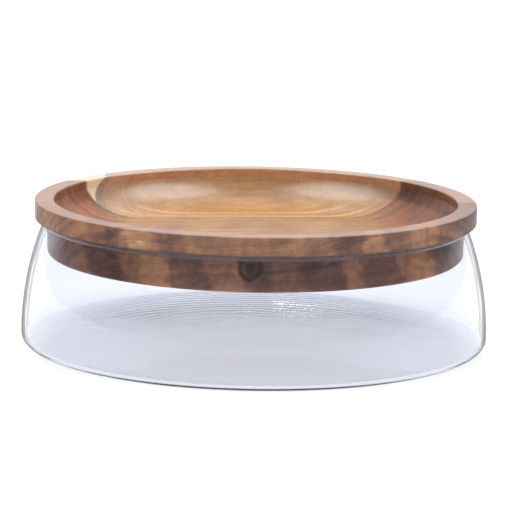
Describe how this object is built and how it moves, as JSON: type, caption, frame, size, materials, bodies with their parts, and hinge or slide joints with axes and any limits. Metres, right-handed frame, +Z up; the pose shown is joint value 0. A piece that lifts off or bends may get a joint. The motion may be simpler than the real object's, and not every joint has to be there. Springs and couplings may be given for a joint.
{
  "type": "cheese dome",
  "caption": "Clear glass bowl closed by a dished round wooden tray; turned over, the tray is a board and the bowl a dome.",
  "frame": {"origin": "centre of the glass bowl's foot, on the surface it stands on", "axes": "+Z up through the bowl and the tray, +X along the tray's wooden staves"},
  "size_m": [0.2968, 0.2968, 0.091],
  "materials": {
    "glass": "clear, polished",
    "acacia": "oiled satin"
  },
  "bodies": {
    "bowl": {"glass_bowl": "glass"},
    "tray": {"stave_back": "acacia", "stave_middle_back": "acacia", "stave_middle_front": "acacia", "stave_front": "acacia"}
  },
  "joints": [
    {"name": "tray_lift", "type": "slide", "parent": "bowl", "child": "tray", "axis": [0, 0, 1], "range_m": [0, 0.12]}
  ]
}
